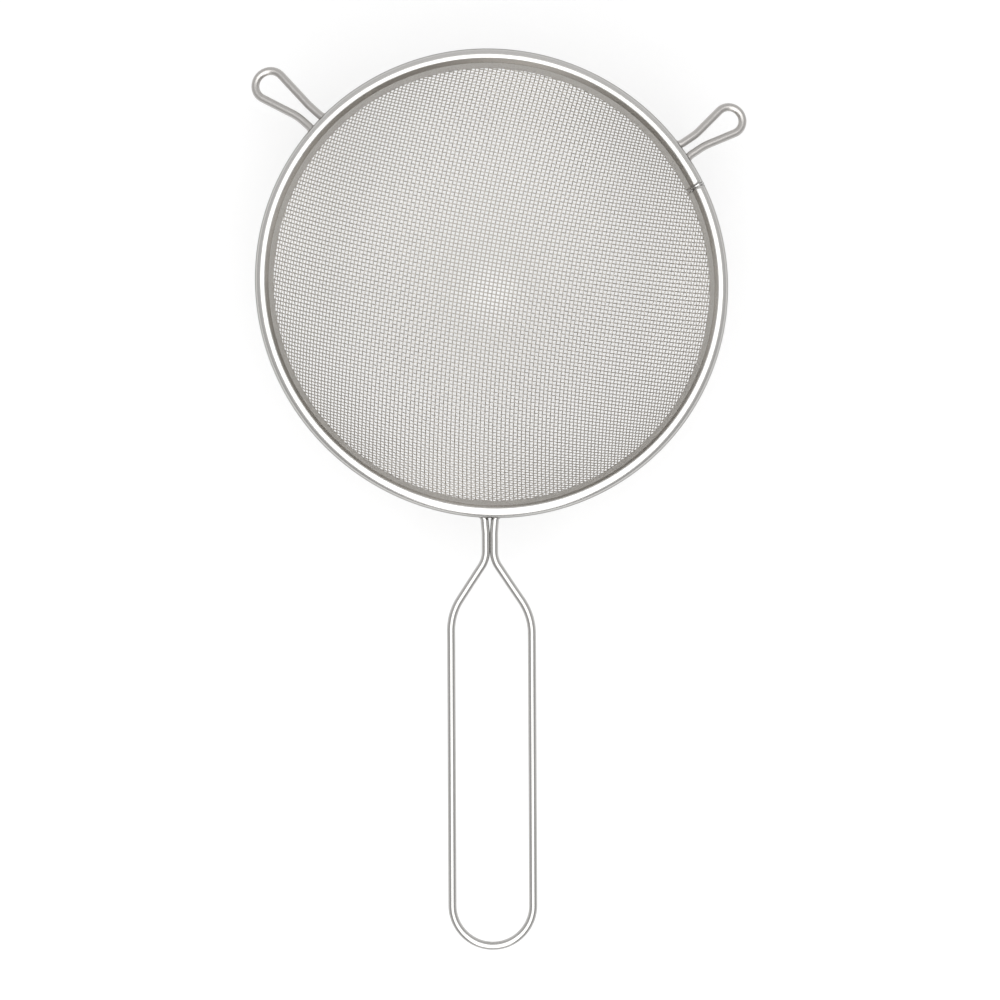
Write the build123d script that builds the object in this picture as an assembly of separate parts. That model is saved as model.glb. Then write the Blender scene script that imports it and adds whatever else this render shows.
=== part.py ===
from build123d import *
import os
from math import acos, asin, atan2, cos, degrees, hypot, pi, radians, sin, sqrt, tan

# Round wire-mesh strainer with a rolled rim, a looped wire handle and two wire ears.
# Millimetres. +Z is up and the bowl opens upwards. X is to the right and -Y points along
# the handle. The origin is on the bowl's axis, in the plane of the handle wire's
# underside, which is where the strainer hangs on a pot's edge.

# Rim: one strip, rolled over a hoop, with both its edges gripping the mesh
rim_radius = 100.0
strip_thickness = 0.4
bead_width = 4.7
bead_height = 5.5
bead_inner_bend = 0.8
bead_outer_bend = 2.9
bead_under_bend = 1.3
crease_bend = 0.6
collar_lean = 6.0
collar_height = 6.5
flange_length = 4.6
hem_clearance = 0.03
hoop_clearance = 0.35

# Butt seam of the rim strip, closed by one weld
seam_bearing = 25.8
seam_weld_width = 1.0
seam_proud = 0.15

# Bowl: plain-woven wire cloth, pressed to a round crown and a steeper wall
mesh_wire_diameter = 0.42
bowl_depth = 52.0
wall_slope = 60.0
crown_slope = 30.0
mesh_tuck = 1.6

# Sieve openings: a plain square grid that stands for the cloth's much finer one
openings_across = 12
opening_bar = 3.6
opening_heading = 10.5
least_opening_share = 0.3

# Handle: one wire bent to a closed loop, with both feet welded under the rim. Its neck
# runs out from the rim, its shoulders spread, and its grip ends in a half circle.
handle_wire_diameter = 3.4
handle_neck_length = 17.4
handle_shoulder_length = 23.0
handle_grip_length = 124.2
handle_width = 34.2
handle_neck_gap = 0.2
handle_shoulder_bend = 11.0
handle_neck_bend = 12.0
handle_root_bend = 4.2
handle_foot_length = 10.0

# Ears: one wire each, bent to a teardrop loop and a little down from the rim. The left
# one is longer and set to one side.
ear_wire_diameter = 3.4
ear_neck_bend = 25.0
ear_root_bend = 4.0
ear_foot_length = 3.0
ear_droop_angle = 12.0
ear_right_bearing = 34.7
ear_right_neck_width = 6.1
ear_right_neck_length = 8.5
ear_right_loop_length = 14.1
ear_right_bulb_radius = 5.9
ear_left_bearing = 137.3
ear_left_neck_width = 6.6
ear_left_neck_length = 9.5
ear_left_loop_length = 17.2
ear_left_bulb_radius = 6.4
ear_left_offset = 1.5

# Shared by the wires' feet and the outer hem
foot_clearance = 0.02

# Worked-out sizes
mesh_thickness = 2 * mesh_wire_diameter
hem_pitch = strip_thickness + mesh_thickness + 2 * hem_clearance
half_strip = strip_thickness / 2
bead_bottom = max(handle_wire_diameter, ear_wire_diameter)
bead_top = bead_bottom + bead_height
slope_run = cos(radians(wall_slope))
slope_rise = sin(radians(wall_slope))


def lines_cross(p, p_angle, q, q_angle):
    """Where two lines, each a point and a direction in degrees, cross."""
    px, py = cos(radians(p_angle)), sin(radians(p_angle))
    qx, qy = cos(radians(q_angle)), sin(radians(q_angle))
    along = ((q[0] - p[0]) * qy - (q[1] - p[1]) * qx) / (px * qy - py * qx)
    return (p[0] + along * px, p[1] + along * py)


def offset_corners(corners, distance):
    """The corners of a polyline moved to its left by a distance, as an open path."""
    angles = []
    for (ax, ay), (bx, by) in zip(corners, corners[1:]):
        angles.append(degrees(atan2(by - ay, bx - ax)))
    moved = []
    for corner, angle in zip(corners, angles + angles[-1:]):
        left = radians(angle + 90)
        moved.append((corner[0] + distance * cos(left), corner[1] + distance * sin(left)))
    first_point = moved[0]
    last_left = radians(angles[-1] + 90)
    last_point = (
        corners[-1][0] + distance * cos(last_left),
        corners[-1][1] + distance * sin(last_left),
    )
    inner = []
    for index in range(1, len(corners) - 1):
        before = radians(angles[index - 1] + 90)
        start = (
            corners[index][0] + distance * cos(before),
            corners[index][1] + distance * sin(before),
        )
        inner.append(lines_cross(start, angles[index - 1], moved[index], angles[index]))
    return [first_point] + inner + [last_point]


def turn_sign(a, b, c):
    """+1 where a path turns left at b, -1 where it turns right."""
    cross = (b[0] - a[0]) * (c[1] - b[1]) - (b[1] - a[1]) * (c[0] - b[0])
    return 1 if cross > 0 else -1


def bent_strip(corners, bends, left, right):
    """The section of a bent strip, from its centre line's corners and bend radii."""
    sides = []
    for distance in (left, -right):
        radii = []
        for index, bend in enumerate(bends):
            sign = turn_sign(*corners[index:index + 3])
            radii.append(bend - sign * distance)
        sides.append(FilletPolyline(*offset_corners(corners, distance), radius=radii))
    left_side, right_side = sides
    ends = [
        Line(left_side @ 0, right_side @ 0),
        Line(left_side @ 1, right_side @ 1),
    ]
    return make_face([left_side, right_side] + ends)


def in_section(face):
    """A face drawn in (radius, height) turned into the XZ plane."""
    return Plane.XZ * face


# Rim section, in (radius, height). The strip's centre line runs from the lower edge of the
# inner flange, up the collar, over the bead, under it and down the outer hem.
bead_outer = rim_radius - half_strip
bead_inner = rim_radius - bead_width + half_strip
collar_top = (bead_inner, bead_top - half_strip)
collar_foot_height = collar_top[1] - collar_height
collar_foot = (
    collar_top[0] - collar_height * tan(radians(collar_lean)),
    collar_foot_height,
)
flange_edge = (
    collar_foot[0] - flange_length * slope_run,
    collar_foot[1] - flange_length * slope_rise,
)


def below_flange(point, distance):
    """A point moved square to the flange, outwards and down."""
    return (point[0] + distance * slope_rise, point[1] - distance * slope_run)


hem_edge = below_flange(flange_edge, hem_pitch)
bead_floor = bead_bottom + half_strip
hem_top = lines_cross(hem_edge, wall_slope, (bead_outer, bead_floor), 0)
rim_corners = [
    flange_edge,
    collar_foot,
    collar_top,
    (bead_outer, bead_top - half_strip),
    (bead_outer, bead_floor),
    hem_top,
    hem_edge,
]

# Each bend of the bead is limited by the walls between which it lies.
inner_trim = bead_inner_bend * tan(radians(90 - collar_lean) / 2)
outer_bend = min(
    bead_outer_bend,
    bead_outer - bead_inner - inner_trim,
    bead_top - half_strip - bead_floor - bead_under_bend,
)
rim_bends = [crease_bend, bead_inner_bend, outer_bend, bead_under_bend, crease_bend]

# Bowl section: a crown arc and a wall arc that meet smoothly, then a straight run up
# between the flange and the hem. Both radii follow from the mouth, depth and slopes.
mouth = below_flange(flange_edge, hem_pitch / 2)
mouth_radius, mouth_height = mouth
crown_sin, crown_cos = sin(radians(crown_slope)), cos(radians(crown_slope))
wall_sin, wall_cos = sin(radians(wall_slope)), cos(radians(wall_slope))
bowl_det = crown_sin * (crown_cos - wall_cos) - (wall_sin - crown_sin) * (1 - crown_cos)
crown_radius = (
    mouth_radius * (crown_cos - wall_cos) - (wall_sin - crown_sin) * bowl_depth
) / bowl_det
wall_radius = (crown_sin * bowl_depth - (1 - crown_cos) * mouth_radius) / bowl_det
crown_centre = (0, mouth_height - bowl_depth + crown_radius)
wall_centre = (
    (crown_radius - wall_radius) * crown_sin,
    crown_centre[1] - (crown_radius - wall_radius) * crown_cos,
)


def on_arc(centre, radius, slope):
    """The point of a bowl arc where the wall has a slope in degrees."""
    angle = radians(slope)
    return (centre[0] + radius * sin(angle), centre[1] - radius * cos(angle))


def bowl_side(distance):
    """One side of the bowl's wall, at a distance outside its middle surface."""
    crown = [on_arc(crown_centre, crown_radius + distance, s) for s in
             (0, crown_slope / 2, crown_slope)]
    wall = [on_arc(wall_centre, wall_radius + distance, s) for s in
            (crown_slope, (crown_slope + wall_slope) / 2, wall_slope)]
    reach = flange_length + mesh_tuck
    edge = (wall[2][0] + reach * slope_run, wall[2][1] + reach * slope_rise)
    return [ThreePointArc(*crown), ThreePointArc(*wall), Line(wall[2], edge)]


def bowl_section():
    """The bowl wall's closed outline, as thick as two crossing wires."""
    inside = bowl_side(-mesh_thickness / 2)
    outside = bowl_side(mesh_thickness / 2)
    ends = [
        Line(inside[0] @ 0, outside[0] @ 0),
        Line(inside[-1] @ 1, outside[-1] @ 1),
    ]
    return make_face(inside + outside + ends)


def sieve_openings():
    """Square openings in plan, turned with the weave and trimmed to a round border."""
    pitch = 2 * mouth_radius / openings_across
    width = pitch - opening_bar
    places = GridLocations(pitch, pitch, openings_across, openings_across)
    squares = Sketch() + [place * Rectangle(width, width) for place in places]
    border = Circle(flange_edge[0] - opening_bar)
    trimmed = (Rot(0, 0, -opening_heading) * squares) & border
    least_area = least_opening_share * width ** 2
    return [face for face in trimmed.faces() if face.area > least_area]


def make_mesh_bowl():
    """The bowl as one shell, with its grid of openings cut straight down."""
    shell = revolve(in_section(bowl_section()), axis=Axis.Z)
    floor = Pos(0, 0, mouth_height - bowl_depth - mesh_thickness)
    depth = bowl_depth + mesh_thickness
    cutters = [extrude(floor * face, amount=depth, dir=(0, 0, 1)) for face in
               sieve_openings()]
    return shell - cutters


def make_rim_band():
    """The rim strip, rolled to a ring that is open by the width of its seam weld."""
    section = in_section(bent_strip(rim_corners, rim_bends, half_strip, half_strip))
    open_angle = degrees(seam_weld_width / rim_radius)
    ring = revolve(section, axis=Axis.Z, revolution_arc=360 - open_angle)
    return Rot(0, 0, seam_bearing + open_angle / 2) * ring


def make_seam_weld():
    """The weld in the strip's seam, a little proud of the strip on its outer side."""
    section = in_section(
        bent_strip(rim_corners, rim_bends, half_strip + seam_proud, half_strip)
    )
    weld_angle = degrees(seam_weld_width / rim_radius)
    weld = revolve(section, axis=Axis.Z, revolution_arc=weld_angle)
    return Rot(0, 0, seam_bearing - weld_angle / 2) * weld


def make_rim_hoop():
    """The stiffening wire in the middle of the bead, as thick as fits its bends."""
    hoop_radius = rim_radius - bead_width / 2
    hoop_height = bead_bottom + bead_height / 2
    past_bend_out = max(hoop_radius - (bead_outer - outer_bend), 0)
    past_bend_up = max(hoop_height - (bead_top - half_strip - outer_bend), 0)
    room = min(
        bead_width / 2 - strip_thickness,
        bead_height / 2 - strip_thickness,
        outer_bend - half_strip - hypot(past_bend_out, past_bend_up),
    )
    return Pos(0, 0, hoop_height) * Torus(hoop_radius, room - hoop_clearance)


def foot_radius(wire_diameter):
    """The centre line's radius for a wire that lies against the outer hem."""
    centre_height = bead_bottom - wire_diameter / 2
    gap = half_strip + foot_clearance + wire_diameter / 2
    return hem_edge[0] + ((centre_height - hem_edge[1]) * slope_run + gap) / slope_rise


def root_points(run_radius, neck_offset, root_bend, foot_length):
    """Where a foot starts on the rim, leaves it and joins the neck, in (out, side)."""
    side = neck_offset + root_bend
    out = sqrt((run_radius + root_bend) ** 2 - side ** 2)
    leave = atan2(side, out)
    end = leave + foot_length / run_radius
    middle = (leave + end) / 2
    arc = [(run_radius * cos(a), run_radius * sin(a)) for a in (end, middle, leave)]
    turn = (leave + pi / 2) / 2
    bend_middle = (out - root_bend * sin(pi / 2 - turn), side - root_bend * sin(turn))
    return arc, bend_middle, (out, neck_offset)


def fillet_between(a, corner, b, bend):
    """Start, middle and end of an arc that rounds a corner between two lines."""
    in_angle = atan2(a[1] - corner[1], a[0] - corner[0])
    out_angle = atan2(b[1] - corner[1], b[0] - corner[0])
    half = acos(cos(in_angle - out_angle)) / 2
    trim = bend / tan(half)
    bisector = atan2(
        sin(in_angle) + sin(out_angle), cos(in_angle) + cos(out_angle)
    )
    middle = bend / sin(half) - bend
    return [
        (corner[0] + trim * cos(in_angle), corner[1] + trim * sin(in_angle)),
        (corner[0] + middle * cos(bisector), corner[1] + middle * sin(bisector)),
        (corner[0] + trim * cos(out_angle), corner[1] + trim * sin(out_angle)),
    ]


def mirror_points(points):
    return [(out, -side) for out, side in points]


def half_loop(root, corners, bends, loop_start):
    """One side of a wire loop, from its foot to the start of its end bend."""
    arc, bend_middle, neck = root
    edges = [ThreePointArc(*arc), ThreePointArc(arc[2], bend_middle, neck)]
    last = neck
    chain = [neck] + corners + [loop_start]
    for index, bend in enumerate(bends):
        start, middle, end = fillet_between(*chain[index:index + 3], bend)
        edges.append(Line(last, start))
        edges.append(ThreePointArc(start, middle, end))
        last = end
    edges.append(Line(last, loop_start))
    return edges


def bend_wire(edges, wire_diameter, bearing, droop):
    """A round wire along a flat path drawn in (out, side), laid under the bead.

    The wire droops about the line between the ends of its feet.
    """
    path = Wire(edges)
    foot_end = path @ 0
    section = Plane(origin=foot_end, z_dir=path % 0) * Circle(wire_diameter / 2)
    wire = sweep(section, path=path)
    drooped = Pos(foot_end.X, 0, 0) * Rot(0, droop, 0) * Pos(-foot_end.X, 0, 0) * wire
    return Pos(0, 0, bead_bottom - wire_diameter / 2) * Rot(0, 0, bearing) * drooped


def make_handle():
    """The handle loop: feet, a narrow neck, shoulders, two legs and a round end."""
    neck_offset = (handle_wire_diameter + handle_neck_gap) / 2
    half_width = handle_width / 2
    run_radius = foot_radius(handle_wire_diameter)
    root = root_points(run_radius, neck_offset, handle_root_bend, handle_foot_length)
    neck_out = rim_radius + handle_neck_length
    shoulder_out = neck_out + handle_shoulder_length
    end_out = shoulder_out + handle_grip_length
    corners = [(neck_out, neck_offset), (shoulder_out, half_width)]
    bends = [handle_neck_bend, handle_shoulder_bend]
    end_start = (end_out, half_width)
    one_side = half_loop(root, corners, bends, end_start)
    arc, bend_middle, neck = root
    mirrored_root = (mirror_points(arc), *mirror_points([bend_middle, neck]))
    other_side = half_loop(mirrored_root, mirror_points(corners), bends,
                           (end_out, -half_width))
    end_bend = ThreePointArc(end_start, (end_out + half_width, 0),
                             (end_out, -half_width))
    return bend_wire(one_side + [end_bend] + other_side, handle_wire_diameter, -90, 0)


def bulb_tangent(corner, centre, radius, side):
    """Where a line from a corner touches the ear's end bend on one side."""
    away = hypot(centre[0] - corner[0], centre[1] - corner[1])
    toward = atan2(centre[1] - corner[1], centre[0] - corner[0])
    angle = toward + side * asin(radius / away)
    length = sqrt(away ** 2 - radius ** 2)
    return (corner[0] + length * cos(angle), corner[1] + length * sin(angle))


def make_ear(bearing, neck_width, neck_length, loop_length, bulb_radius, offset):
    """One ear: two short feet, a neck and a round end, set to one side by an offset."""
    neck_offset = neck_width / 2
    neck_out = rim_radius + neck_length
    end_out = neck_out + loop_length
    run_radius = foot_radius(ear_wire_diameter)
    root = root_points(run_radius, neck_offset, ear_root_bend, ear_foot_length)
    arc, bend_middle, neck = root
    mirrored_root = (mirror_points(arc), *mirror_points([bend_middle, neck]))
    centre = (end_out, offset)
    corner = (neck_out, neck_offset)
    left_touch = bulb_tangent(corner, centre, bulb_radius, 1)
    right_touch = bulb_tangent(*mirror_points([corner]), centre, bulb_radius, -1)
    left_side = half_loop(root, [corner], [ear_neck_bend], left_touch)
    right_side = half_loop(mirrored_root, mirror_points([corner]), [ear_neck_bend],
                           right_touch)
    tip = (end_out + bulb_radius, offset)
    end_bend = ThreePointArc(left_touch, tip, right_touch)
    edges = left_side + [end_bend] + right_side
    return bend_wire(edges, ear_wire_diameter, bearing, ear_droop_angle)


def make_parts():
    return {
        "mesh_bowl": make_mesh_bowl(),
        "rim_band": make_rim_band(),
        "rim_hoop": make_rim_hoop(),
        "seam_weld": make_seam_weld(),
        "handle_loop": make_handle(),
        "ear_right": make_ear(
            ear_right_bearing,
            ear_right_neck_width,
            ear_right_neck_length,
            ear_right_loop_length,
            ear_right_bulb_radius,
            0,
        ),
        "ear_left": make_ear(
            ear_left_bearing,
            ear_left_neck_width,
            ear_left_neck_length,
            ear_left_loop_length,
            ear_left_bulb_radius,
            ear_left_offset,
        ),
    }


os.makedirs("parts", exist_ok=True)
for name, solid in make_parts().items():
    solid.label = name
    export_step(solid, f"parts/{name}.step")
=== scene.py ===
"""Look of a round wire-mesh strainer with a rolled rim, a wire handle and two ears.

Metres. +Z is up, -Y is along the handle and the origin is on the bowl's axis, in the
plane of the handle wire's underside.
"""
import math

import bpy
import numpy as np
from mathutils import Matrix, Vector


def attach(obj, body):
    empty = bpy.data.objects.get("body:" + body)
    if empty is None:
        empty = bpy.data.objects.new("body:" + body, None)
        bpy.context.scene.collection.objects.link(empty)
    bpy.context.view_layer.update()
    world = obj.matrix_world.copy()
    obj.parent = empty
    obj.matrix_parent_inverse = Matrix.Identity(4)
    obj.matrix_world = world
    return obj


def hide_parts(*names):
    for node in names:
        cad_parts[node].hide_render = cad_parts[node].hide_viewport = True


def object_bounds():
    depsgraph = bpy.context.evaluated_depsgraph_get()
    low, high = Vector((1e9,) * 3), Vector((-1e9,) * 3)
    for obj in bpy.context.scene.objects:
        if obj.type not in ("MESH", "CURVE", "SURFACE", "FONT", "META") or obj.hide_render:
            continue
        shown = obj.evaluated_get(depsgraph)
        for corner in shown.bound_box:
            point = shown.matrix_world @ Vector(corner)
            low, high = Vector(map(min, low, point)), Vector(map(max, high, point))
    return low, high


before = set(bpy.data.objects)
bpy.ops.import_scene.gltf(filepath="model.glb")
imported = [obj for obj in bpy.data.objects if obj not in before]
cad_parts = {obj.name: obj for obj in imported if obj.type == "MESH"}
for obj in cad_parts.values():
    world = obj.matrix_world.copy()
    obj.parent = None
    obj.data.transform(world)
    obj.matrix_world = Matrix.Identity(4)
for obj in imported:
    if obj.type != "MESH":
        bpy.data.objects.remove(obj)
cad_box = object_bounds()

MM = 0.001
tiny = 1e-9

# Rim strip
rim_radius = 100.0 * MM
strip_thickness = 0.4 * MM
bead_width = 4.7 * MM
bead_height = 5.5 * MM
bead_bottom = 3.4 * MM
bead_inner_bend = 0.4 * MM
bead_outer_bend = 2.9 * MM
bead_under_bend = 1.3 * MM
crease_bend = 0.6 * MM
undercut_bend = 0.3 * MM
collar_lean = math.radians(6.0)
collar_height = 6.5 * MM
flange_length = 4.6 * MM
flange_trim = 0.7 * MM
undercut = 0.35 * MM
undercut_drop = 0.9 * MM
hem_clearance = 0.03 * MM
oval_share = 0.01
oval_bearing = math.radians(146.3)
strip_bend_steps = 10
band_steps = 520

# Hoop inside the bead
hoop_radius = 1.5 * MM
hoop_steps = 360
hoop_sides = 16

# Seam: a ridge of weld between two grooves
seam_bearing = math.radians(25.8)
seam_width = 1.3 * MM
seam_ridge_width = 0.6 * MM
seam_proud = 0.12 * MM
ridge_steps = 6

# Woven bowl
mesh_wire_radius = 0.21 * MM
mesh_tube_radius = 0.233 * MM
bowl_depth = 52.0 * MM
wall_slope = math.radians(60.0)
crown_slope = math.radians(30.0)
mesh_tuck = 1.6 * MM
warp_pitch = 1.851 * MM
weft_pitch = 1.726 * MM
warp_heading = math.radians(8.6)
warp_bow_turn = math.radians(4.6)
warp_bow_length = 42.5 * MM
weft_heading = math.radians(10.5)
mesh_sides = 6
steps_per_crossing = 4
pieces_per_direction = 4
net_overrun_pitches = 4
run_overrun_pitches = 1.5
least_crossings = 4
curve_parts = 10
solver_rounds = 6

# Wire of the handle and the ears
wire_radius = 1.7 * MM
wire_sides = 32
facet_spacing = 3.0 * MM
end_round = 0.35 * MM
end_round_shares = np.array([0.0, 0.15, 0.5, 1.0])
end_trim_share = 1.5
foot_clearance = 0.02 * MM
root_fade = 8.0 * MM
foot_steps = 12
bend_steps = 24

# Handle
handle_reach = 264.6 * MM
handle_half_width = 17.2 * MM
handle_shoulder_reach = 140.8 * MM
handle_neck_reach = 117.4 * MM
handle_neck_half = 1.71 * MM
handle_neck_flare = 0.42 * MM
handle_pinch_reach = 106.0 * MM
handle_flare_bend = 20.0 * MM
handle_shoulder_bend = 25.0 * MM
handle_neck_bend = 12.0 * MM
handle_root_bend = 3.2 * MM
handle_foot_length = 10.0 * MM
handle_bearing = math.radians(-89.725)
handle_offset = -0.70 * MM
neck_kink = -0.54 * MM
kink_start = 128.0 * MM
kink_end = 152.0 * MM
handle_end_steps = 60

# Ears
ear_neck_bend = 25.0 * MM
ear_root_bend = 4.0 * MM
ear_foot_length = 3.0 * MM
ear_droop = math.radians(12.0)
ear_right_bearing = math.radians(34.7)
ear_right_neck_half = 3.05 * MM
ear_right_neck_reach = 108.5 * MM
ear_right_reach = 124.2 * MM
ear_right_bulb_radius = 5.9 * MM
ear_left_bearing = math.radians(137.3)
ear_left_neck_half = 3.3 * MM
ear_left_neck_reach = 109.5 * MM
ear_left_reach = 128.4 * MM
ear_left_bulb_radius = 6.4 * MM
ear_left_offset = 1.5 * MM
bulb_steps = 40

# Steel
wire_grain_depth = 0.004 * MM
band_grain_depth = 0.003 * MM
mesh_grain_depth = 0.002 * MM
patch_scale_share = 0.25
band_edge_tint = 0.95
# Painted shade: a low edge tint on the bead's outer side, and the width it fades in over
bead_side_painted_shade_tint = 0.1
painted_shade_fade = 0.4 * MM

# Studio
white = (1.0, 1.0, 1.0, 1.0)
bright_way = (0.0, 0.97, 0.24)
dark_wall = 0.40
bright_wall = 0.78
softbox_size = (1.7, 2.0)
softbox_place = (0.05, -0.40, 1.5)
softbox_radiance = 1.9
front_size = (1.6, 1.5)
front_place = (0.0, -1.9, 1.45)
front_radiance = 1.7
floor_half_width = 6.0
floor_color = (0.9, 0.9, 0.9, 1.0)
floor_glow_share = 0.48
floor_fade_start = 0.45
floor_fade_end = 1.3

# Picture
camera_place = (3.61 * MM, -91.97 * MM, 1170.4 * MM)
camera_clip_start = 0.05
focal_pixels = 2744.0
picture_pixels = 1000.0
sensor_width_mm = 36.0

half_strip = strip_thickness / 2
mesh_half = 2 * mesh_wire_radius
hem_pitch = strip_thickness + 2 * mesh_half + 2 * hem_clearance
bead_top = bead_bottom + bead_height
slope = np.array([math.cos(wall_slope), math.sin(wall_slope)])
out_of_bowl = np.array([math.sin(wall_slope), -math.cos(wall_slope)])


# Outlines and curves


def crossing(p, p_way, q, q_way):
    """Where two lines, each a point and a direction, cross."""
    across = p_way[0] * q_way[1] - p_way[1] * q_way[0]
    along = ((q[0] - p[0]) * q_way[1] - (q[1] - p[1]) * q_way[0]) / across
    return np.asarray(p) + along * np.asarray(p_way)


def rounded(corners, bends, steps):
    """Points along a polyline with rounded corners, and the left normal at each."""
    corners = [np.asarray(c, float) for c in corners]
    run_shares = (0.0, 0.04, 0.5, 0.96)
    points = []
    normals = []

    def add_run(start, end):
        way = (end - start) / np.linalg.norm(end - start)
        for share in run_shares:
            points.append(start + share * (end - start))
            normals.append(np.array([-way[1], way[0]]))

    last = corners[0]
    for before, corner, after, bend in zip(corners, corners[1:], corners[2:], bends):
        way_in = (corner - before) / np.linalg.norm(corner - before)
        way_out = (after - corner) / np.linalg.norm(after - corner)
        turn = math.atan2(
            way_in[0] * way_out[1] - way_in[1] * way_out[0], float(way_in @ way_out)
        )
        trim = bend * math.tan(abs(turn) / 2)
        start = corner - way_in * trim
        left = np.array([-way_in[1], way_in[0]])
        centre = start + math.copysign(bend, turn) * left
        add_run(last, start)
        for step in range(steps + 1):
            angle = turn * step / steps
            cosine = math.cos(angle)
            sine = math.sin(angle)
            normal = np.array(
                [left[0] * cosine - left[1] * sine, left[0] * sine + left[1] * cosine]
            )
            points.append(centre - math.copysign(bend, turn) * normal)
            normals.append(normal)
        last = corner + way_out * trim
    add_run(last, corners[-1])
    points.append(corners[-1])
    normals.append(normals[-1])
    return np.array(points), np.array(normals)


def arc(centre, radius, start, end, steps):
    """Points on an arc, in (out, side), from one angle to another."""
    angles = np.linspace(start, end, steps + 1)
    return np.column_stack([
        centre[0] + radius * np.cos(angles), centre[1] + radius * np.sin(angles)
    ])


def densify(path, spacing):
    """Extra points on the long runs of a path, so that its tube has even facets."""
    points = [path[0]]
    for a, b in zip(path, path[1:]):
        length = np.linalg.norm(b - a)
        if length < tiny:
            continue
        count = max(1, int(length / spacing))
        points += [a + (b - a) * k / count for k in range(1, count + 1)]
    return np.array(points)


def smooth_line(points, steps):
    """A smooth line through points, with a number of steps from each to the next."""
    before = np.vstack([2 * points[0] - points[1], points[:-1]])
    after = np.vstack([points[1:], 2 * points[-1] - points[-2]])
    slopes = (after - before) / 2
    t = (np.arange(steps) / steps)[None, :, None]
    start = points[:-1, None]
    end = points[1:, None]
    line = (
        (2 * t**3 - 3 * t**2 + 1) * start
        + (t**3 - 2 * t**2 + t) * slopes[:-1, None]
        + (3 * t**2 - 2 * t**3) * end
        + (t**3 - t**2) * slopes[1:, None]
    )
    return np.vstack([line.reshape(-1, 3), points[-1:]])


# Surfaces from grids of vertices


def grid_quads(rows, columns, wrap_rows, wrap_columns):
    """Quads of a grid of vertices, whose rows or columns may close on themselves."""
    i = np.arange(rows if wrap_rows else rows - 1)
    j = np.arange(columns if wrap_columns else columns - 1)
    a, b = np.meshgrid(i, j, indexing="ij")
    a = a.ravel()
    b = b.ravel()
    c = (a + 1) % rows
    d = (b + 1) % columns
    return np.column_stack([
        a * columns + b, a * columns + d, c * columns + d, c * columns + b
    ])


def end_caps(rows, columns):
    """The two end faces of a swept section."""
    first = np.arange(columns)
    last = (rows - 1) * columns + np.arange(columns)
    return [first, last[::-1]]


def tube(centre, up, radius, sides, closed=False):
    """Vertices and quads of a round wire about a centre line."""
    if closed:
        way = np.roll(centre, -1, axis=0) - np.roll(centre, 1, axis=0)
    else:
        way = np.gradient(centre, axis=0)
    way /= np.linalg.norm(way, axis=1, keepdims=True)
    side = np.cross(way, up)
    side /= np.linalg.norm(side, axis=1, keepdims=True)
    square_up = np.cross(side, way)
    turns = np.arange(sides) / sides * 2 * math.pi
    ring = (
        np.cos(turns)[None, :, None] * side[:, None]
        + np.sin(turns)[None, :, None] * square_up[:, None]
    )
    radius = np.broadcast_to(radius, (len(centre),))
    vertices = (centre[:, None] + ring * radius[:, None, None]).reshape(-1, 3)
    return vertices, grid_quads(len(centre), sides, closed, True)


def lathe(profile, start, turn, steps):
    """A profile in (radius, height) swept by an angle about the bowl's axis."""
    angles = start + turn * np.arange(steps + 1) / steps
    rings = np.stack([
        profile[None, :, 0] * np.cos(angles)[:, None],
        profile[None, :, 0] * np.sin(angles)[:, None],
        np.broadcast_to(profile[None, :, 1], (len(angles), len(profile))),
    ], axis=2)
    quads = grid_quads(len(angles), len(profile), False, True)[:, ::-1]
    return rings.reshape(-1, 3), quads


def oval_step(bearing):
    """How far the slightly oval rim stands out of round at a bearing."""
    return oval_share * rim_radius * np.cos(2 * (bearing - oval_bearing))


def out_of_round(part):
    """Rim or mesh vertices drawn out along the oval's long axis, with their quads."""
    vertices, quads = part
    cosine = math.cos(2 * oval_bearing)
    sine = math.sin(2 * oval_bearing)
    stretch = np.array([[cosine, sine, 0.0], [sine, -cosine, 0.0], [0.0, 0.0, 0.0]])
    return vertices + oval_share * vertices @ stretch, quads


def add_piece(name, parts, material, caps=()):
    """One smooth mesh object, from lists of vertices and quads, that rides the root."""
    vertices = np.vstack([v for v, _ in parts])
    starts = np.cumsum([0] + [len(v) for v, _ in parts])
    quads = np.vstack([q + start for (_, q), start in zip(parts, starts)])
    loops = [quads.ravel()] + [np.asarray(cap) for cap in caps]
    sizes = np.array([4] * len(quads) + [len(cap) for cap in caps])
    mesh = bpy.data.meshes.new(name)
    mesh.vertices.add(len(vertices))
    mesh.vertices.foreach_set("co", vertices.astype(np.float32).ravel())
    mesh.loops.add(int(sizes.sum()))
    mesh.loops.foreach_set("vertex_index", np.concatenate(loops).astype(np.int32))
    mesh.polygons.add(len(sizes))
    mesh.polygons.foreach_set("loop_start", (np.cumsum(sizes) - sizes).astype(np.int32))
    mesh.polygons.foreach_set("use_smooth", np.ones(len(sizes), bool))
    mesh.update(calc_edges=True)
    mesh.validate()
    mesh.materials.append(material)
    piece = bpy.data.objects.new(name, mesh)
    bpy.context.scene.collection.objects.link(piece)
    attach(piece, "root")
    return piece


# Materials


def feed(tree, socket, value):
    """Gives an input another node's output, or a plain value."""
    if isinstance(value, bpy.types.NodeSocket):
        tree.links.new(value, socket)
    else:
        socket.default_value = value


def node(tree, kind, *values, operation=None, **named_values):
    """A shader node whose inputs are fed in order, or by name."""
    made = tree.nodes.new(kind)
    if operation:
        made.operation = operation
    for socket, value in zip(made.inputs, values):
        feed(tree, socket, value)
    for name, value in named_values.items():
        feed(tree, made.inputs[name.replace("_", " ")], value)
    return made


def cleared_tree(owner):
    """The node tree of a material or world, with no nodes in it."""
    owner.use_nodes = True
    owner.node_tree.nodes.clear()
    return owner.node_tree


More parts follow.
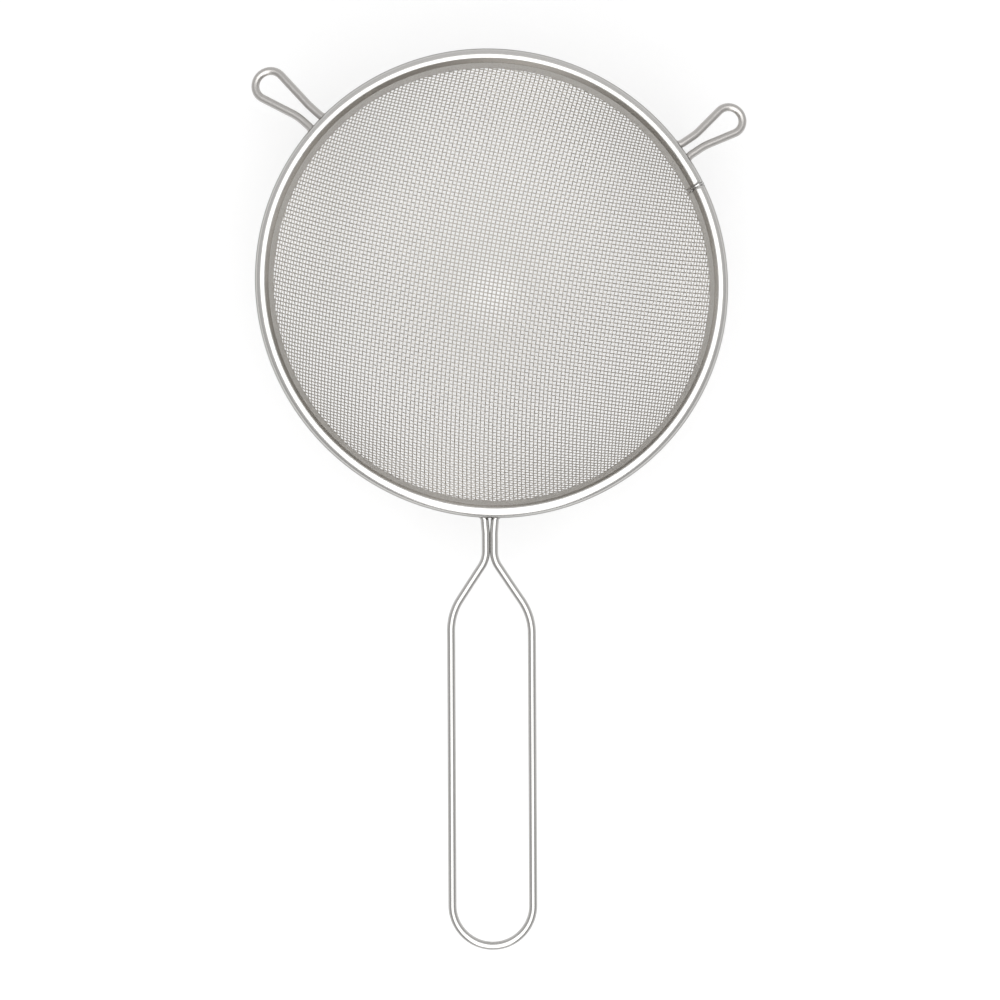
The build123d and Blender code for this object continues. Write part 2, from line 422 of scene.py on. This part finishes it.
def steel(name, color, edge_tint, rough, rough_spread, grain, grain_depth):
    """Bare stainless steel: uneven roughness and a fine grain."""
    material = bpy.data.materials.new(name)
    tree = cleared_tree(material)
    where = node(tree, "ShaderNodeTexCoord").outputs["Object"]
    patch_scale = patch_scale_share * grain
    patches = node(tree, "ShaderNodeTexNoise", Vector=where, Scale=patch_scale, Detail=2.0)
    spread = node(
        tree,
        "ShaderNodeMapRange",
        Value=patches.outputs["Fac"],
        To_Min=rough - rough_spread,
        To_Max=rough + rough_spread,
    )
    fine = node(tree, "ShaderNodeTexNoise", Vector=where, Scale=grain, Detail=3.0)
    bump = node(
        tree,
        "ShaderNodeBump",
        Strength=1.0,
        Distance=grain_depth,
        Height=fine.outputs["Fac"],
    )
    metal = node(
        tree,
        "ShaderNodeBsdfPrincipled",
        Base_Color=(*color, 1.0),
        Metallic=1.0,
        Roughness=spread.outputs["Result"],
        Specular_Tint=(edge_tint, edge_tint, edge_tint, 1.0),
        Normal=bump.outputs["Normal"],
    )
    node(tree, "ShaderNodeOutputMaterial", Surface=metal.outputs["BSDF"])
    return material


def paint_shade_outside(material, radius, inner_tint, shaded_tint):
    """Lowers a steel's edge tint outside a radius from the bowl's axis, as painted shade that
    darkens the grazing reflections there.
    """
    tree = material.node_tree
    where = node(tree, "ShaderNodeTexCoord").outputs["Object"]
    flat = node(tree, "ShaderNodeVectorMath", where, (1.0, 1.0, 0.0), operation="MULTIPLY")
    away = node(tree, "ShaderNodeVectorMath", flat.outputs["Vector"], operation="LENGTH")
    fade = node(
        tree,
        "ShaderNodeMapRange",
        Value=away.outputs["Value"],
        From_Min=radius,
        From_Max=radius + painted_shade_fade,
        To_Min=inner_tint,
        To_Max=shaded_tint,
    )
    metal = tree.nodes["Principled BSDF"]
    tree.links.new(fade.outputs["Result"], metal.inputs["Specular Tint"])


wire_steel = steel(
    "wire_steel",
    color=(0.52, 0.513, 0.50),
    edge_tint=0.5,
    rough=0.15,
    rough_spread=0.04,
    grain=900.0,
    grain_depth=wire_grain_depth,
)
ear_steel = steel(
    "ear_steel",
    color=(0.53, 0.513, 0.495),
    edge_tint=0.6,
    rough=0.33,
    rough_spread=0.05,
    grain=900.0,
    grain_depth=wire_grain_depth,
)
band_steel = steel(
    "band_steel",
    color=(0.62, 0.61, 0.593),
    edge_tint=band_edge_tint,
    rough=0.24,
    rough_spread=0.04,
    grain=700.0,
    grain_depth=band_grain_depth,
)
# Painted shade: outside the middle of the bead the edge tint drops, so the reflections on its
# outer side come out darker
paint_shade_outside(band_steel, rim_radius - bead_width / 2, band_edge_tint, bead_side_painted_shade_tint)
mesh_steel = steel(
    "mesh_steel",
    color=(0.52, 0.492, 0.455),
    edge_tint=0.7,
    rough=0.37,
    rough_spread=0.05,
    grain=1500.0,
    grain_depth=mesh_grain_depth,
)

# Rim section in (radius, height), along the middle of the strip
bead_outer = rim_radius - half_strip
collar_top = np.array([rim_radius - bead_width + half_strip, bead_top - half_strip])
collar_foot = collar_top - collar_height * np.array([math.tan(collar_lean), 1.0])
flange_edge = collar_foot - flange_length * slope
hem_edge = flange_edge + hem_pitch * out_of_bowl
bead_floor = bead_bottom + half_strip
hem_top = crossing(hem_edge, slope, (bead_outer, bead_floor), (1.0, 0.0))
rim_corners = [
    flange_edge + flange_trim * slope,
    collar_foot,
    collar_top + np.array([undercut, -undercut_drop]),
    collar_top,
    (bead_outer, bead_top - half_strip),
    (bead_outer, bead_floor),
    hem_top,
    hem_edge,
]
rim_bends = [
    crease_bend,
    undercut_bend,
    bead_inner_bend,
    bead_outer_bend,
    bead_under_bend,
    crease_bend,
]
strip_middle, strip_normal = rounded(rim_corners, rim_bends, strip_bend_steps)


def strip_section(left, right):
    """The closed outline of the strip's section, by its reach to either side."""
    return np.vstack([
        strip_middle + left * strip_normal, (strip_middle - right * strip_normal)[::-1]
    ])


# Bowl's middle surface: crown arc, wall arc and a straight run into the hem
mouth = flange_edge + hem_pitch / 2 * out_of_bowl
crown_sin = math.sin(crown_slope)
crown_cos = math.cos(crown_slope)
wall_sin = math.sin(wall_slope)
wall_cos = math.cos(wall_slope)
bowl_det = crown_sin * (crown_cos - wall_cos) - (wall_sin - crown_sin) * (1 - crown_cos)
crown_radius = (
    mouth[0] * (crown_cos - wall_cos) - (wall_sin - crown_sin) * bowl_depth
) / bowl_det
wall_radius = (crown_sin * bowl_depth - (1 - crown_cos) * mouth[0]) / bowl_det
crown_height = mouth[1] - bowl_depth + crown_radius
wall_centre = (crown_radius - wall_radius) * crown_sin
wall_height = crown_height - (crown_radius - wall_radius) * crown_cos
crown_edge = crown_radius * crown_sin
mesh_edge = mouth[0] + (flange_length + mesh_tuck) * slope[0]


def bowl_surface(radius):
    """Height of the bowl's middle surface, and its rise over run, at each radius."""
    radius = np.asarray(radius, float)
    on_crown = np.minimum(radius, crown_edge)
    crown_drop = np.sqrt(crown_radius**2 - on_crown**2)
    on_wall = np.clip(radius, crown_edge, mouth[0]) - wall_centre
    wall_drop = np.sqrt(wall_radius**2 - on_wall**2)
    beyond = np.maximum(radius - mouth[0], 0.0)
    height = np.where(
        radius < crown_edge,
        crown_height - crown_drop,
        wall_height - wall_drop + beyond * math.tan(wall_slope),
    )
    rise = np.where(radius < crown_edge, on_crown / crown_drop, on_wall / wall_drop)
    return height, rise


def bowl_normal(points):
    """Unit normals of the bowl's middle surface, pointing into the bowl."""
    radius = np.maximum(np.hypot(points[:, 0], points[:, 1]), tiny)
    _, rise = bowl_surface(radius)
    normal = np.column_stack([
        -points[:, 0] / radius * rise,
        -points[:, 1] / radius * rise,
        np.ones(len(points)),
    ])
    return normal / np.linalg.norm(normal, axis=1, keepdims=True)


# Weave of the bowl


def warp_way(place):
    """Direction in plan of the warp wire through the bowl's centre, which bows."""
    angle = warp_heading + warp_bow_turn * place[1] / warp_bow_length
    return np.array([math.sin(angle), math.cos(angle)])


def weft_way(place):
    """Direction in plan of the weft wire through the bowl's centre, the same all along."""
    return np.array([math.cos(weft_heading), -math.sin(weft_heading)])


def on_bowl(place):
    """A place in plan lifted to the bowl's middle surface."""
    height, _ = bowl_surface(math.hypot(*place))
    return np.array([place[0], place[1], float(height)])


def base_curve(count, pitch, heading, sign):
    """Crossings along one wire through the bowl's centre, at a pitch on the surface."""
    place = np.zeros(2)
    crossings = [on_bowl(place)]
    for _ in range(count):
        for _ in range(curve_parts):
            way = sign * heading(place)
            radius = math.hypot(*place)
            _, rise = bowl_surface(radius)
            climb = float(rise) * float(place @ way) / radius if radius > 0 else 0.0
            place = place + way * pitch / curve_parts / math.sqrt(1 + climb**2)
        crossings.append(on_bowl(place))
    return np.array(crossings)


def fill_quadrant(net, warp_sign, weft_sign, warp_half, weft_half):
    """Adds the crossings of one quadrant: each is one pitch from two that are known.

    Wires of a cloth that is pressed to a bowl keep their pitches and shear at the
    crossings, so a new crossing is where two spheres meet the bowl.
    """
    for diagonal in range(2, warp_half + weft_half + 1):
        i = np.arange(max(1, diagonal - weft_half), min(warp_half, diagonal - 1) + 1)
        column = warp_half + warp_sign * i
        row = weft_half + weft_sign * (diagonal - i)
        near_warp = net[column - warp_sign, row]
        near_weft = net[column, row - weft_sign]
        guess = (near_warp + near_weft - net[column - warp_sign, row - weft_sign])[:, :2]
        for _ in range(solver_rounds):
            radius = np.maximum(np.hypot(guess[:, 0], guess[:, 1]), tiny)
            height, rise = bowl_surface(radius)
            gradient = guess / radius[:, None] * rise[:, None]
            here = np.column_stack([guess, height])
            from_warp = here - near_warp
            from_weft = here - near_weft
            miss_warp = (from_warp**2).sum(1) - warp_pitch**2
            miss_weft = (from_weft**2).sum(1) - weft_pitch**2
            a = 2 * (from_warp[:, :2] + from_warp[:, 2:] * gradient)
            b = 2 * (from_weft[:, :2] + from_weft[:, 2:] * gradient)
            det = a[:, 0] * b[:, 1] - a[:, 1] * b[:, 0]
            guess = guess - np.column_stack([
                (miss_warp * b[:, 1] - miss_weft * a[:, 1]) / det,
                (a[:, 0] * miss_weft - b[:, 0] * miss_warp) / det,
            ])
        radius = np.hypot(guess[:, 0], guess[:, 1])
        guess[radius > mesh_edge + net_overrun_pitches * warp_pitch] = np.nan
        height, _ = bowl_surface(np.hypot(guess[:, 0], guess[:, 1]))
        net[column, row] = np.column_stack([guess, height])


def make_net():
    """Places of all crossings: first index counts warp wires, second weft wires."""
    reach = (
        crown_radius * crown_slope
        + wall_radius * (wall_slope - crown_slope)
        + flange_length
        + mesh_tuck
    )
    warp_half = int(reach / warp_pitch) + 2
    weft_half = int(reach / weft_pitch) + 2
    net = np.full((2 * warp_half + 1, 2 * weft_half + 1, 3), np.nan)
    net[warp_half:, weft_half] = base_curve(warp_half, warp_pitch, weft_way, 1)
    net[warp_half::-1, weft_half] = base_curve(warp_half, warp_pitch, weft_way, -1)
    net[warp_half, weft_half:] = base_curve(weft_half, weft_pitch, warp_way, 1)
    net[warp_half, weft_half::-1] = base_curve(weft_half, weft_pitch, warp_way, -1)
    for warp_sign in (1, -1):
        for weft_sign in (1, -1):
            fill_quadrant(net, warp_sign, weft_sign, warp_half, weft_half)
    return net


def known_runs(lines):
    """Each wire's run of known crossings, as (index of the wire, first, crossings)."""
    run_reach = mesh_edge + run_overrun_pitches * warp_pitch
    for index, line in enumerate(lines):
        radius = np.hypot(line[:, 0], line[:, 1])
        known = np.flatnonzero(radius <= run_reach)
        if len(known) < least_crossings:
            continue
        first = last = known[np.argmin(radius[known])]
        while first - 1 in known:
            first -= 1
        while last + 1 in known:
            last += 1
        if last - first + 1 >= least_crossings:
            yield index, first, line[first:last + 1]


def woven_wire(crossings, first, parity):
    """Centre line and normals of one wire that goes over and under the others."""
    line = smooth_line(crossings, steps_per_crossing)
    counts = first + np.arange(len(line)) / steps_per_crossing
    inside = np.hypot(line[:, 0], line[:, 1]) <= mesh_edge
    line = line[inside]
    counts = counts[inside]
    normal = bowl_normal(line)
    lift = mesh_wire_radius * np.cos(math.pi * (counts + parity))
    return line + normal * lift[:, None], normal


def weave(name, lines, parity):
    """All wires of one direction, in a few pieces."""
    wires = []
    for index, first, crossings in known_runs(lines):
        centre, normal = woven_wire(crossings, first, index + parity)
        if len(centre) >= least_crossings:
            wire = tube(centre, normal, mesh_tube_radius, mesh_sides)
            wires.append(out_of_round(wire))
    count = math.ceil(len(wires) / pieces_per_direction)
    pieces = []
    for group in range(pieces_per_direction):
        some = wires[group * count:(group + 1) * count]
        pieces.append(add_piece(f"{name}_{group + 1}", some, mesh_steel))
    return pieces


net = make_net()
mesh_pieces = weave("mesh_warp", net, 0)
mesh_pieces += weave("mesh_weft", net.transpose(1, 0, 2), 1)
for piece in mesh_pieces:
    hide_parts("mesh_bowl")

# Rim band, open at the seam
band_section = strip_section(half_strip, half_strip)
open_angle = seam_width / rim_radius
band_start = seam_bearing + open_angle / 2
band = lathe(band_section, band_start, 2 * math.pi - open_angle, band_steps)
rim_band = add_piece(
    "rim_strip", [out_of_round(band)], band_steel, end_caps(band_steps + 1, len(band_section))
)
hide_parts("rim_band")

# Ridge of weld in the seam
ridge_section = strip_section(half_strip + seam_proud, half_strip)
ridge_angle = seam_ridge_width / rim_radius
ridge = lathe(ridge_section, seam_bearing - ridge_angle / 2, ridge_angle, ridge_steps)
seam_ridge = add_piece(
    "seam_ridge", [out_of_round(ridge)], band_steel, end_caps(ridge_steps + 1, len(ridge_section))
)
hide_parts("seam_weld")

# Hoop inside the bead
hoop_turns = np.arange(hoop_steps) / hoop_steps * 2 * math.pi
hoop_line = (rim_radius - bead_width / 2) * np.column_stack([
    np.cos(hoop_turns), np.sin(hoop_turns), np.zeros(hoop_steps)
])
hoop_line[:, 2] = bead_bottom + bead_height / 2
hoop_up = np.tile([0.0, 0.0, 1.0], (hoop_steps, 1))
hoop_tube = tube(hoop_line, hoop_up, hoop_radius, hoop_sides, closed=True)
hoop = add_piece("hoop_wire", [out_of_round(hoop_tube)], wire_steel)
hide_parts("rim_hoop")

# Wires laid along the underside of the bead, against the hem
foot_radius = hem_edge[0] + (
    (bead_bottom - wire_radius - hem_edge[1]) * slope[0]
    + half_strip + foot_clearance + wire_radius
) / slope[1]


def foot_and_root(neck_half, root_bend, foot_length):
    """A foot along the rim and the bend out of it, in (out, side), to the neck's line."""
    side = neck_half + root_bend
    out = math.sqrt((foot_radius + root_bend) ** 2 - side**2)
    leave = math.atan2(side, out)
    foot = arc((0, 0), foot_radius, leave + foot_length / foot_radius, leave, foot_steps)
    bend = arc((out, side), root_bend, leave - math.pi, -math.pi / 2, bend_steps)
    return np.vstack([foot, bend[1:]])


def handle_path():
    """The handle's path in (out, side): feet, neck, shoulders and a round far end.

    Past the neck both sides step across by the kink.
    """
    root = foot_and_root(
        handle_neck_half + handle_neck_flare, handle_root_bend, handle_foot_length
    )
    corners = [
        root[-1],
        (handle_pinch_reach, handle_neck_half),
        (handle_neck_reach, handle_neck_half),
        (handle_shoulder_reach, handle_half_width),
        (handle_reach, handle_half_width),
    ]
    bends = [handle_flare_bend, handle_neck_bend, handle_shoulder_bend]
    run, _ = rounded(corners, bends, bend_steps)
    half = np.vstack([root, run[1:]])
    far_end = arc(
        (handle_reach, 0), handle_half_width, math.pi / 2, -math.pi / 2, handle_end_steps
    )
    path = np.vstack([half, far_end[1:-1], (half * [1, -1])[::-1]])
    past_kink = np.clip((path[:, 0] - kink_start) / (kink_end - kink_start), 0, 1)
    path[:, 1] -= neck_kink * past_kink**2 * (3 - 2 * past_kink)
    return path


def ear_path(neck_half, neck_reach, reach, bulb_radius, offset):
    """An ear's path in (out, side): feet, neck, and a round end off to one side."""
    halves = []
    touches = []
    for side in (1, -1):
        corner = np.array([neck_reach, side * neck_half])
        to_centre = np.array([reach, offset]) - corner
        away = np.linalg.norm(to_centre)
        angle = math.atan2(to_centre[1], to_centre[0])
        angle += side * math.asin(bulb_radius / away)
        length = math.sqrt(away**2 - bulb_radius**2)
        touch = corner + length * np.array([math.cos(angle), math.sin(angle)])
        root = foot_and_root(neck_half, ear_root_bend, ear_foot_length) * [1, side]
        run, _ = rounded([root[-1], corner, touch], [ear_neck_bend], bend_steps)
        halves.append(np.vstack([root, run[1:]]))
        touches.append(angle + side * math.pi / 2)
    bulb = arc((reach, offset), bulb_radius, touches[0], touches[1], bulb_steps)
    return np.vstack([halves[0], bulb[1:-1], halves[1][::-1]])


def laid_wire(name, path, bearing, offset, droop, material):
    """A wire along a path in (out, side), laid under the bead, with rounded ends.

    It is set to one side by the offset, droops about the line between the ends of its
    feet, and near the rim it follows the oval.
    """
    path = densify(path, facet_spacing)
    past_foot = path[:, 0] - path[0, 0]
    out = path[0, 0] + past_foot * math.cos(droop)
    side = path[:, 1] + offset
    cosine = math.cos(bearing)
    sine = math.sin(bearing)
    centre = np.column_stack([
        out * cosine - side * sine,
        out * sine + side * cosine,
        bead_bottom - wire_radius - past_foot * math.sin(droop),
    ])
    radius = np.hypot(centre[:, 0], centre[:, 1])
    around = np.arctan2(centre[:, 1], centre[:, 0])
    near_rim = np.clip((foot_radius + root_fade - radius) / root_fade, 0, 1)
    step = oval_step(around) - offset * np.sin(around - bearing)
    centre[:, :2] *= (1 + step * near_rim**2 * (3 - 2 * near_rim) / radius)[:, None]

    first_way = (centre[1] - centre[0]) / np.linalg.norm(centre[1] - centre[0])
    last_way = (centre[-1] - centre[-2]) / np.linalg.norm(centre[-1] - centre[-2])
    lead = centre[0] + first_way * (end_round_shares * end_round)[:, None]
    tail = centre[-1] - last_way * (end_round_shares[::-1] * end_round)[:, None]
    end_trim = end_trim_share * end_round
    past_first = np.linalg.norm(centre - centre[0], axis=1) > end_trim
    before_last = np.linalg.norm(centre - centre[-1], axis=1) > end_trim
    line = np.vstack([lead, centre[past_first & before_last], tail])
    radii = np.full(len(line), wire_radius)
    inset = end_round * (1 - np.sqrt(1 - (1 - end_round_shares) ** 2))
    radii[:len(lead)] -= inset
    radii[-len(tail):] -= inset[::-1]
    up = np.tile([0.0, 0.0, 1.0], (len(line), 1))
    caps = [cap[::-1] for cap in end_caps(len(line), wire_sides)]
    return add_piece(name, [tube(line, up, radii, wire_sides)], material, caps)


handle = laid_wire(
    "handle_wire", handle_path(), handle_bearing, handle_offset + neck_kink, 0, wire_steel
)
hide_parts("handle_loop")

right_path = ear_path(
    ear_right_neck_half, ear_right_neck_reach, ear_right_reach, ear_right_bulb_radius, 0
)
ear_right = laid_wire("ear_right_wire", right_path, ear_right_bearing, 0, ear_droop, ear_steel)
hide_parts("ear_right")

left_path = ear_path(
    ear_left_neck_half,
    ear_left_neck_reach,
    ear_left_reach,
    ear_left_bulb_radius,
    ear_left_offset,
)
ear_left = laid_wire("ear_left_wire", left_path, ear_left_bearing, 0, ear_droop, ear_steel)
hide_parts("ear_left")


# Floor, light and camera


def seen_ray(tree):
    """1 for camera, glossy and transmission rays, which see the floor's glow."""
    ray = node(tree, "ShaderNodeLightPath").outputs
    first = node(
        tree, "ShaderNodeMath", ray["Is Camera Ray"], ray["Is Glossy Ray"], operation="MAXIMUM"
    )
    second = node(
        tree,
        "ShaderNodeMath",
        first.outputs["Value"],
        ray["Is Transmission Ray"],
        operation="MAXIMUM",
    )
    return second.outputs["Value"]


def far_camera_ray(tree):
    """Rises to 1 for camera rays far from the object, where the floor is all white."""
    where = node(tree, "ShaderNodeTexCoord").outputs["Object"]
    away = node(tree, "ShaderNodeVectorMath", where, operation="LENGTH")
    fade = node(
        tree,
        "ShaderNodeMapRange",
        Value=away.outputs["Value"],
        From_Min=floor_fade_start,
        From_Max=floor_fade_end,
    )
    ray = node(tree, "ShaderNodeLightPath").outputs
    far = node(
        tree, "ShaderNodeMath", fade.outputs["Result"], ray["Is Camera Ray"], operation="MULTIPLY"
    )
    return far.outputs["Value"]


def floor_material():
    """A pale matt floor, mixed with a white glow that its shadow still shows on."""
    material = bpy.data.materials.new("floor_look")
    tree = cleared_tree(material)
    matt = node(tree, "ShaderNodeBsdfDiffuse", Color=floor_color)
    glow = node(tree, "ShaderNodeEmission", Strength=1.0)
    near = node(
        tree, "ShaderNodeMath", seen_ray(tree), floor_glow_share, operation="MULTIPLY"
    )
    both = node(
        tree,
        "ShaderNodeMath",
        near.outputs["Value"],
        far_camera_ray(tree),
        operation="MAXIMUM",
    )
    blend = node(
        tree,
        "ShaderNodeMixShader",
        both.outputs["Value"],
        matt.outputs["BSDF"],
        glow.outputs["Emission"],
    )
    node(tree, "ShaderNodeOutputMaterial", Surface=blend.outputs["Shader"])
    return material


def add_floor():
    """A wide floor at the height of the object's lowest point."""
    lowest, _ = cad_box
    mesh = bpy.data.meshes.new("floor")
    corners = ((-1, -1), (1, -1), (1, 1), (-1, 1))
    mesh.from_pydata(
        [(x * floor_half_width, y * floor_half_width, lowest.z) for x, y in corners],
        [],
        [(0, 1, 2, 3)],
    )
    mesh.materials.append(floor_material())
    floor = bpy.data.objects.new("floor", mesh)
    bpy.context.scene.collection.objects.link(floor)


def add_world():
    """Grey walls that brighten one way, with plain white where the camera sees them."""
    world = bpy.data.worlds.new("studio")
    tree = cleared_tree(world)
    way = node(tree, "ShaderNodeTexCoord").outputs["Generated"]
    along = node(tree, "ShaderNodeVectorMath", way, bright_way, operation="DOT_PRODUCT")
    ramp = node(
        tree,
        "ShaderNodeMapRange",
        Value=along.outputs["Value"],
        From_Min=-1.0,
        To_Min=dark_wall,
        To_Max=bright_wall,
    )
    walls = node(tree, "ShaderNodeBackground", Color=ramp.outputs["Result"], Strength=1.0)
    plain = node(tree, "ShaderNodeBackground", Color=white, Strength=1.0)
    ray = node(tree, "ShaderNodeLightPath").outputs
    blend = node(
        tree,
        "ShaderNodeMixShader",
        ray["Is Camera Ray"],
        walls.outputs["Background"],
        plain.outputs["Background"],
    )
    node(tree, "ShaderNodeOutputWorld", Surface=blend.outputs["Shader"])
    bpy.context.scene.world = world


def add_panel(name, place, size, radiance, tilt):
    """A rectangular light of even radiance, tilted toward +Y from facing down."""
    light = bpy.data.lights.new(name, "AREA")
    light.shape = "RECTANGLE"
    light.size, light.size_y = size
    light.energy = radiance * math.pi * light.size * light.size_y
    panel = bpy.data.objects.new(name, light)
    panel.location = place
    panel.rotation_euler = (tilt, 0, 0)
    bpy.context.scene.collection.objects.link(panel)


def add_camera():
    """A camera above the object that looks straight down."""
    data = bpy.data.cameras.new("camera")
    data.sensor_width = sensor_width_mm
    data.lens = focal_pixels * sensor_width_mm / picture_pixels
    data.clip_start = camera_clip_start
    camera = bpy.data.objects.new("camera", data)
    camera.location = camera_place
    bpy.context.scene.collection.objects.link(camera)
    bpy.context.scene.camera = camera


add_floor()
add_world()
add_panel("softbox", softbox_place, softbox_size, softbox_radiance, 0)
front_tilt = math.atan2(-front_place[1], front_place[2])
add_panel("front_panel", front_place, front_size, front_radiance, front_tilt)
add_camera()
bpy.context.scene.view_settings.view_transform = "Standard"
